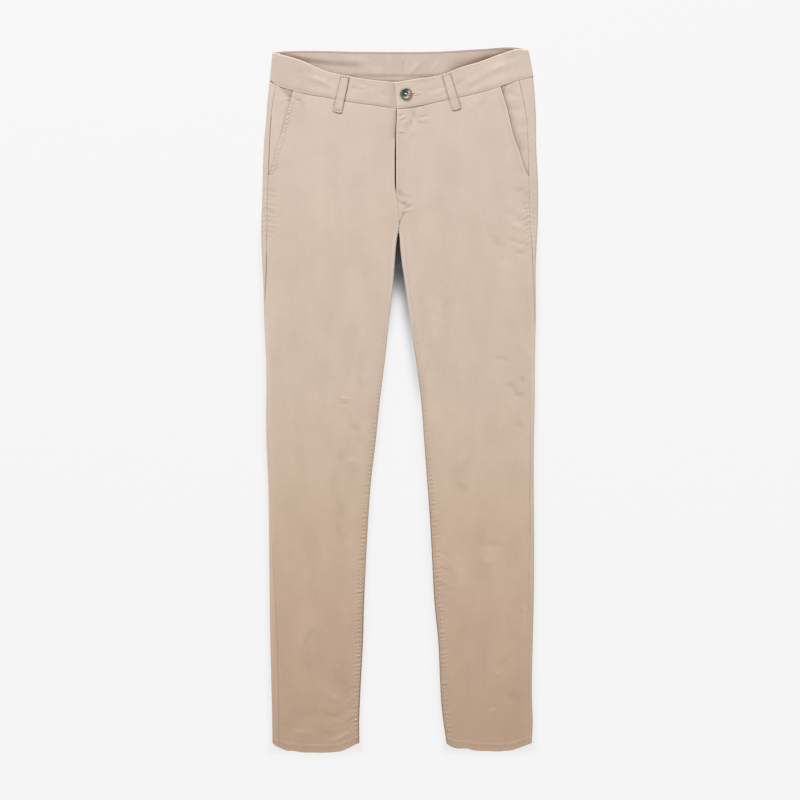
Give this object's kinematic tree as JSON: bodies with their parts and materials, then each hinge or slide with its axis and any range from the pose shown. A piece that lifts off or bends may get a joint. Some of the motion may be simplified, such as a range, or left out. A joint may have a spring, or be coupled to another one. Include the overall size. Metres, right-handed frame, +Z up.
{
  "type": "chino trousers",
  "caption": "Slim straight-leg stretch cotton chinos laid flat, front up, with a waistband, belt loops, slant pockets, a lapped fly, a waist button and narrow turned-up hems.",
  "frame": {"origin": "centre of the garment's box in plan, at the height of the surface it lies on", "axes": "+X towards the wearer's left, +Y towards the waist, +Z up out of the garment's front"},
  "size_m": [0.4158, 1.0554, 0.0121],
  "materials": {
    "panel_cloth": "pale beige stretch cotton twill, soft nap",
    "band_cloth": "the same twill, doubled",
    "button_resin": "polished marbled resin"
  },
  "bodies": {
    "root": {"front_right": "panel_cloth", "front_left": "panel_cloth", "back_right": "panel_cloth", "back_left": "panel_cloth", "pocket_facing_right": "panel_cloth", "pocket_facing_left": "panel_cloth", "fly_shield": "panel_cloth", "waistband_right": "band_cloth", "waistband_left": "band_cloth", "waistband_lining": "band_cloth", "belt_loop_front_right": "band_cloth", "belt_loop_front_left": "band_cloth", "belt_loop_back_right": "band_cloth", "belt_loop_back_centre": "band_cloth", "belt_loop_back_left": "band_cloth", "button": "button_resin"}
  },
  "joints": []
}
